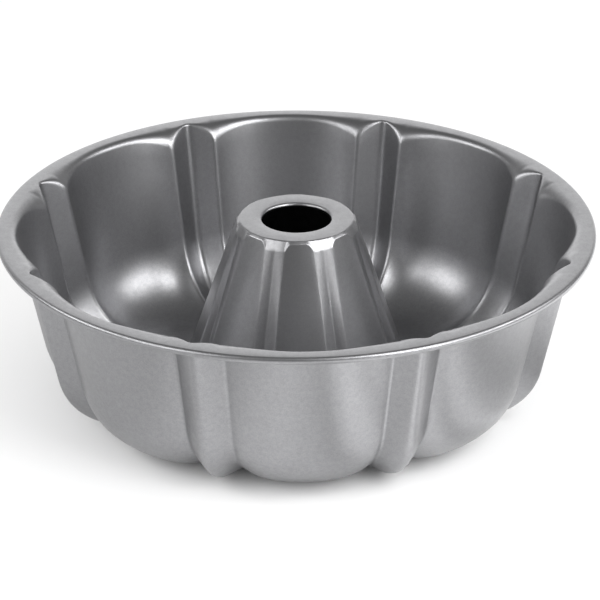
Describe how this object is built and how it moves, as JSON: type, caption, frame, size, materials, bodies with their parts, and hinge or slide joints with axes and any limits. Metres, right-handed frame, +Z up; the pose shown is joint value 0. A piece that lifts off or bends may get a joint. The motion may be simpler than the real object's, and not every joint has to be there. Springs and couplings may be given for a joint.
{
  "type": "fluted tube pan",
  "caption": "Round baking pan with fluted sides, an open centre tube and a rolled rim, for ring-shaped cakes.",
  "frame": {"origin": "on the pan's vertical axis, on the surface that the pan stands on", "axes": "+Z up along the centre tube, towards the open side; -Y through the middle of a lobe, and +X through the middle of another"},
  "size_m": [0.254, 0.254, 0.0809],
  "materials": {
    "nonstick_grey": "semi-gloss metallic grey non-stick coating on steel sheet",
    "steel_wire": "plain drawn steel wire"
  },
  "bodies": {
    "root": {"pan_body": "nonstick_grey", "rim_wire": "steel_wire"}
  },
  "joints": []
}
